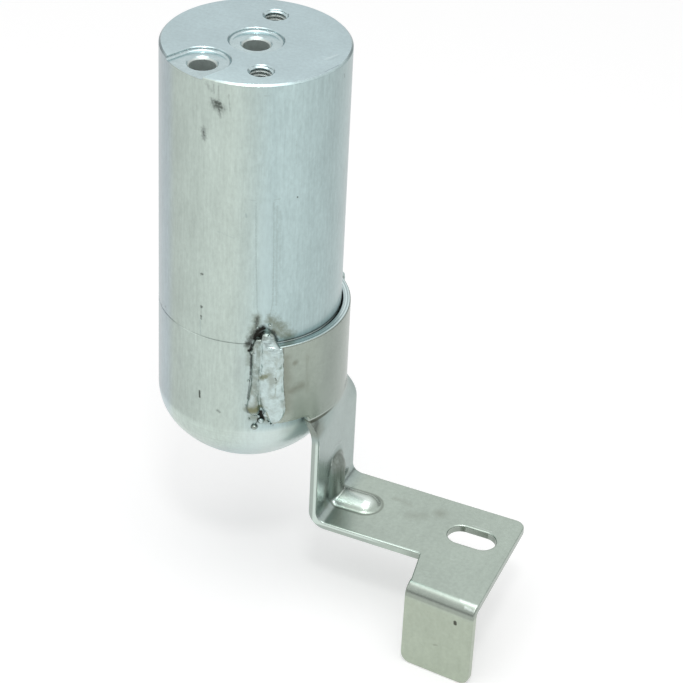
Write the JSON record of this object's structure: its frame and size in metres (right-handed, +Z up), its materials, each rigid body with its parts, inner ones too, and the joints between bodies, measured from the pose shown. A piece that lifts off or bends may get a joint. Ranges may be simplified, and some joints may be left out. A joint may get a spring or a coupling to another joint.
{
  "type": "suction line accumulator",
  "caption": "Closed aluminium can with ports and tapped holes in its thick machined head, carried by a welded folded-sheet bracket with a slotted foot and a hanging ear.",
  "frame": {"origin": "centre of the head's flat face, on the can's axis", "axes": "+Z up along the can's axis, out of the head; +X the way the bracket's foot reaches out; the ear hangs on the -Y side"},
  "size_m": [0.1284, 0.0658, 0.1963],
  "materials": {
    "can_aluminium": "satin, drawn and machined",
    "bracket_aluminium": "satin, rolled sheet",
    "weld_aluminium": "as welded, with soot",
    "tube_aluminium": "satin, drawn",
    "moulded_plastic": "moulded, natural colour",
    "mesh_steel": "woven wire",
    "bag_felt": "needled felt",
    "tie_plastic": "moulded, natural colour"
  },
  "bodies": {
    "root": {"vessel_body": "can_aluminium", "bracket": "bracket_aluminium", "weld_front": "weld_aluminium", "weld_rear": "weld_aluminium", "inner_tube": "tube_aluminium", "outer_tube": "moulded_plastic", "deflector": "moulded_plastic", "strainer_housing": "moulded_plastic", "strainer_mesh": "mesh_steel", "desiccant_bag": "bag_felt", "bag_ties": "tie_plastic"}
  },
  "joints": []
}
